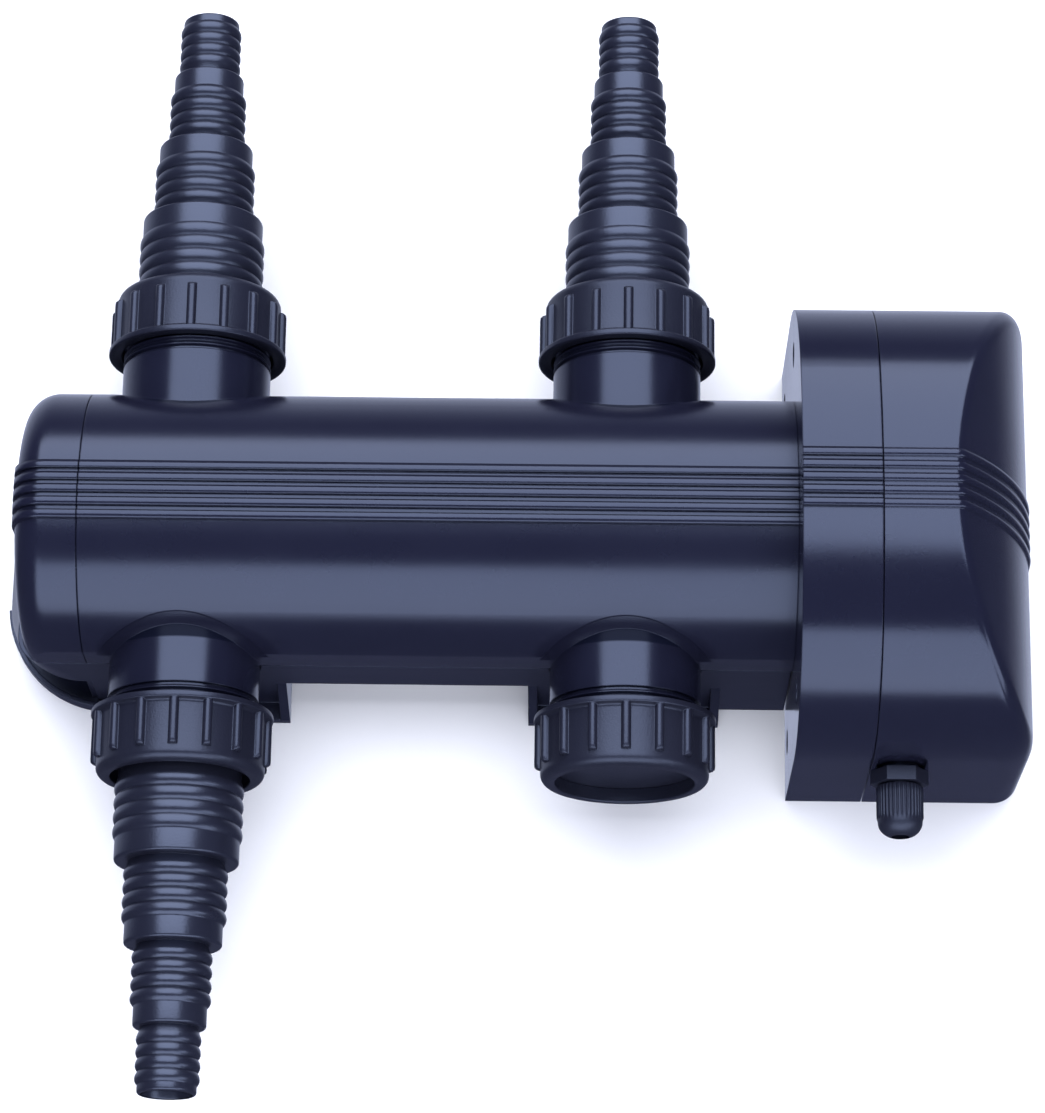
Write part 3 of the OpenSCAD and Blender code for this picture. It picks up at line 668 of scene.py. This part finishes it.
def add_crown_rib(bm, y):
    """A half-round rib laid on the cover, open underneath, which fades out at its foot."""
    path = rib_path(y)
    rows = []
    for index, ((x, z), (nx, nz)) in enumerate(path):
        fade = min(1.0, (len(path) - 1 - index) / RIB_FADE_STEPS)
        rows.append([Vector((x + nx * RIB_RISE * up * fade, y + RIB_HALF * side,
                             z + nz * RIB_RISE * up * fade)) * MM for side, up in RIB_SECTION])
    add_grid(bm, rows)


# Bosses for the cover's screws as (Y, Z, X where they meet the end wall)
BOSSES = ((-58, 14, 197.0), (58, 14, 197.0), (-56, 66, 192.3), (56, 66, 192.3))
BOSS_R = 5.5
BOSS_HOLE_R = 2.1
BOSS_HOLE_END = 164.0
BOSS_CORE_R = 0.02
BOSS_EDGE = 0.3
BOSS_SEGMENTS = 64


def add_boss(bm, y, z, end_x):
    """A round boss along X with a blind screw hole open at the seam."""
    def place(radius, angle, x):
        return (MM * x, MM * (y + radius * math.cos(angle)), MM * (z + radius * math.sin(angle)))

    profile = [(BOSS_HOLE_R, SEAM_X + BOSS_EDGE), (BOSS_HOLE_R + BOSS_EDGE, SEAM_X),
               (BOSS_R - BOSS_EDGE, SEAM_X), (BOSS_R, SEAM_X + BOSS_EDGE), (BOSS_R, end_x),
               (BOSS_CORE_R, end_x), (BOSS_CORE_R, BOSS_HOLE_END), (BOSS_HOLE_R, BOSS_HOLE_END)]
    add_lathe(bm, profile, place, BOSS_SEGMENTS)


cover = bmesh.new()
outer_skin = cover_skin(cover, 0.0, 0.0)
inner_skin = cover_skin(cover, COVER_WALL, COVER_WALL)
for skin in (outer_skin, inner_skin):
    cover.faces.new(skin[0] + list(reversed(skin[-1]))[1:])
for i in range(len(outer_skin) - 1):
    cover.faces.new((outer_skin[i][0], outer_skin[i + 1][0], inner_skin[i + 1][0],
                     inner_skin[i][0]))
cover.faces.new((outer_skin[0][0], outer_skin[-1][0], inner_skin[-1][0], inner_skin[0][0]))
bmesh.ops.remove_doubles(cover, verts=cover.verts, dist=MM * WELD)
for rib in range(CROWN_RIBS):
    add_crown_rib(cover, (rib - CROWN_RIBS // 2) * RIB_PITCH)
for boss_y, boss_z, boss_end in BOSSES:
    add_boss(cover, boss_y, boss_z, boss_end)
# The slot is the CAD cover's; its own material has no rib bump, because these ribs are shape
cover_piece = finish_mesh("cover_shell", cover, "head_gloss", "cover", "head_cover", 40)
cover_piece.data.materials[0] = MATERIALS["cover_gloss"]

# Pocket above the gland and the gland's hole, cut out of the cover
GLAND_X = 157.0
GLAND_Z = 38.0
POCKET_HALF = 7.7
POCKET_DEPTH = 1.6
POCKET_DROP = 1.0
POCKET_RISE = 4.0
POCKET_STEPS = 24
GLAND_HOLE_R = 6.1
GLAND_HOLE_DEPTH = 6.0
GLAND_HOLE_SIDES = 48
CUTTER_PROUD = 5.0


def cutter_object(name, bm):
    """An object for a boolean cut, made from a closed bmesh."""
    mesh = bpy.data.meshes.new(name)
    bmesh.ops.recalc_face_normals(bm, faces=bm.faces)
    bm.to_mesh(mesh)
    bm.free()
    cutter = bpy.data.objects.new(name, mesh)
    bpy.context.scene.collection.objects.link(cutter)
    return cutter


def prism(bm, outline, y0, y1):
    """A prism along Y over an outline of (X, Z) points in millimetres."""
    near = [bm.verts.new((MM * x, MM * y0, MM * z)) for x, z in outline]
    far = [bm.verts.new((MM * x, MM * y1, MM * z)) for x, z in outline]
    bm.faces.new(near)
    bm.faces.new(list(reversed(far)))
    count = len(outline)
    for k in range(count):
        bm.faces.new((near[k], near[(k + 1) % count], far[(k + 1) % count], far[k]))


pocket = bmesh.new()
pocket_top = GLAND_Z + POCKET_HALF + POCKET_RISE
pocket_outline = [(GLAND_X - POCKET_HALF, GLAND_Z - POCKET_DROP),
                  (GLAND_X + POCKET_HALF, GLAND_Z - POCKET_DROP)]
pocket_outline += [(GLAND_X + POCKET_HALF * math.cos(a), pocket_top + POCKET_HALF * math.sin(a))
                   for a in [math.pi * k / POCKET_STEPS for k in range(POCKET_STEPS + 1)]]
prism(pocket, pocket_outline, -HEAD_W - CUTTER_PROUD, -HEAD_W + POCKET_DEPTH)
hole = bmesh.new()
hole_angles = [2 * math.pi * k / GLAND_HOLE_SIDES for k in range(GLAND_HOLE_SIDES)]
prism(hole, [(GLAND_X + GLAND_HOLE_R * math.cos(a), GLAND_Z + GLAND_HOLE_R * math.sin(a))
             for a in hole_angles], -HEAD_W - CUTTER_PROUD, -HEAD_W + GLAND_HOLE_DEPTH)
for cutter in (cutter_object("pocket_cutter", pocket), cutter_object("hole_cutter", hole)):
    cut = cover_piece.modifiers.new(cutter.name, "BOOLEAN")
    cut.operation = "DIFFERENCE"
    cut.solver = "EXACT"
    cut.object = cutter
    depsgraph = bpy.context.evaluated_depsgraph_get()
    cut_mesh = bpy.data.meshes.new_from_object(cover_piece.evaluated_get(depsgraph))
    cover_piece.modifiers.clear()
    cover_piece.data = cut_mesh
    bpy.data.objects.remove(cutter)

# ---------------------------------------------------------------- gland dome nut

DOME_START = 79.0
DOME_RIDGED = 89.8
DOME_R = 7.1
DOME_TIP = 95.4
DOME_HOLE_R = 3.6
DOME_BORE_R = 6.1
DOME_BORE_END = 88.6  # 0.1 mm clear of the seal's end face
DOME_RIDGES = 36
RIDGE_RISE = 0.35
RIDGE_POINTS = 10
RIDGE_POWER = 0.6
NOSE_R = 5.2
NOSE_LENGTH = 5.0
NOSE_START = DOME_RIDGED + 0.6


def gland_point(radius, angle, along):
    """A point round the gland's axis in metres; along is the distance towards -Y."""
    return (MM * (GLAND_X + radius * math.cos(angle)), -MM * along,
            MM * (GLAND_Z + radius * math.sin(angle)))


dome = bmesh.new()
dome_segments = DOME_RIDGES * RIDGE_POINTS
# Radius, distance along the axis and share of the ridges' rise
dome_profile = [(DOME_R - 0.3, DOME_START, 0.3), (DOME_R, DOME_START + 0.5, 1.0),
                (DOME_R, DOME_START + 3, 1.0), (DOME_R, DOME_RIDGED - 2, 1.0),
                (DOME_R, DOME_RIDGED - 0.6, 0.9), (DOME_R, DOME_RIDGED, 0.4),
                (DOME_R, DOME_RIDGED + 0.4, 0.0)]
dome_profile += [(DOME_R - NOSE_R + NOSE_R * math.cos(a), NOSE_START + NOSE_LENGTH * math.sin(a), 0.0)
                 for a in [math.radians(8 * k) for k in range(1, 11)]]
dome_profile += [(DOME_HOLE_R, DOME_TIP - 0.3, 0.0), (DOME_HOLE_R, DOME_BORE_END, 0.0),
                 (DOME_BORE_R, DOME_BORE_END, 0.0), (DOME_BORE_R, DOME_START, 0.0)]
rows = []
for radius, along, share in dome_profile:
    row = []
    for k in range(dome_segments):
        angle = 2 * math.pi * k / dome_segments
        ridge = max(0.0, math.cos(DOME_RIDGES * angle)) ** RIDGE_POWER
        row.append(gland_point(radius + RIDGE_RISE * ridge * share, angle, along))
    rows.append(row)
add_grid(dome, rows, close_rows=True, close_columns=True)
finish_mesh("gland_cap_nut", dome, "gland_matte", "gland_cap", "gland_dome_nut", 50)

# ---------------------------------------------------------------- studio

FLOOR_SIZE = 4.0
FLOOR_DROP = 0.0002
FLOOR_DARK = (0.93, 0.93, 0.935)
FLOOR_LIGHT = (0.95, 0.95, 0.95)
floor_mesh = bpy.data.meshes.new("floor")
floor_half = FLOOR_SIZE / 2
floor_mesh.from_pydata(
    [(-floor_half, -floor_half, 0), (floor_half, -floor_half, 0), (floor_half, floor_half, 0),
     (-floor_half, floor_half, 0)], [], [(0, 1, 2, 3)])
floor = bpy.data.objects.new("floor", floor_mesh)
floor.location.z = CAD_BOUNDS[0][2] - FLOOR_DROP
bpy.context.scene.collection.objects.link(floor)
floor_material, floor_tree, floor_shader = new_material("floor_paper")
floor_tree.links.new(
    blend_colours(floor_tree, noise(floor_tree, 6, 2), FLOOR_DARK, FLOOR_LIGHT),
    floor_shader.inputs["Base Color"])
floor_shader.inputs["Roughness"].default_value = 0.9
floor_shader.inputs["Specular IOR Level"].default_value = 0.0
floor_mesh.materials.append(floor_material)
floor.visible_glossy = False

LIGHT_TINT = (0.94, 0.97, 1.08)
LIGHT_DISTANCE = 1.9


def area_light(name, width, depth, power, direction, rotation):
    """A rectangular light at LIGHT_DISTANCE from the origin in a direction."""
    light = bpy.data.lights.new(name, "AREA")
    light.shape = "RECTANGLE"
    light.size = width
    light.size_y = depth
    light.energy = power
    light.color = LIGHT_TINT
    lamp = bpy.data.objects.new(name, light)
    lamp.location = direction * LIGHT_DISTANCE
    lamp.rotation_euler = rotation
    bpy.context.scene.collection.objects.link(lamp)


def softbox(name, angle, width, depth, power):
    """A light over the object's X axis; angle is measured from the vertical to -Y."""
    tilt = math.radians(angle)
    area_light(name, width, depth, power, Vector((0, -math.sin(tilt), math.cos(tilt))),
               (tilt, 0, 0))


softbox("overhead_box", -30, 2.6, 2.8, 104)
softbox("front_box", 62, 2.6, 1.5, 46)

# A low panel to the right front, for the bright edge of the cover's end
panel_direction = Vector((0.74, -0.55, 0.39)).normalized()
area_light("side_panel", 0.7, 0.9, 7, panel_direction,
           panel_direction.to_track_quat("Z", "Y").to_euler())

# Dim surroundings, with a pale glow low behind the object that fades out to the right
WORLD_DIM = (0.09, 0.10, 0.17)
WORLD_GLOW = (0.62, 0.68, 0.92)
# Between which parts of a unit direction the glow comes up behind and dies above and to the right
GLOW_BEHIND = (0.05, 0.25)
GLOW_BELOW = (-0.5, 0.05)
GLOW_RIGHT = (0.45, 0.75)
world = bpy.data.worlds.new("studio")
world.use_nodes = True
world_tree = world.node_tree
background = world_tree.nodes["Background"]
sky = world_tree.nodes.new("ShaderNodeTexCoord")
sky_axes = world_tree.nodes.new("ShaderNodeSeparateXYZ")
world_tree.links.new(sky.outputs["Generated"], sky_axes.inputs["Vector"])
behind = remap(world_tree, sky_axes.outputs["Y"], 0.0, 1.0, *GLOW_BEHIND)
below = remap(world_tree, sky_axes.outputs["Z"], 1.0, 0.0, *GLOW_BELOW)
not_right = remap(world_tree, sky_axes.outputs["X"], 1.0, 0.0, *GLOW_RIGHT)
low_glow = maths(world_tree, "MULTIPLY", maths(world_tree, "MULTIPLY", behind, below), not_right)
world_tree.links.new(blend_colours(world_tree, low_glow, WORLD_DIM, WORLD_GLOW),
                     background.inputs["Color"])
background.inputs["Strength"].default_value = 1.0
bpy.context.scene.world = world

# ---------------------------------------------------------------- camera

CAMERA_ELEVATION = 71.73
CAMERA_YAW = 2.27
CAMERA_ROLL = -1.55
CAMERA_DISTANCE = 1.25255
CAMERA_TARGET = Vector((0.03688, -0.00595, 0.045))
FOCAL_MM = 126.39
SENSOR_MM = 36

elevation = math.radians(CAMERA_ELEVATION)
yaw = math.radians(CAMERA_YAW)
roll = math.radians(CAMERA_ROLL)
back = Vector((math.sin(yaw) * math.cos(elevation), -math.cos(yaw) * math.cos(elevation),
               math.sin(elevation)))
right = Vector((math.cos(yaw), math.sin(yaw), 0))
up = back.cross(right)
camera_right = right * math.cos(roll) + up * math.sin(roll)
camera_up = up * math.cos(roll) - right * math.sin(roll)
camera_data = bpy.data.cameras.new("camera")
camera_data.lens = FOCAL_MM
camera_data.sensor_width = SENSOR_MM
camera_data.clip_end = 20
camera = bpy.data.objects.new("camera", camera_data)
camera.matrix_world = Matrix.Translation(CAMERA_TARGET + back * CAMERA_DISTANCE) @ Matrix(
    (camera_right, camera_up, back)).transposed().to_4x4()
bpy.context.scene.collection.objects.link(camera)
bpy.context.scene.camera = camera
bpy.context.scene.view_settings.view_transform = "Standard"
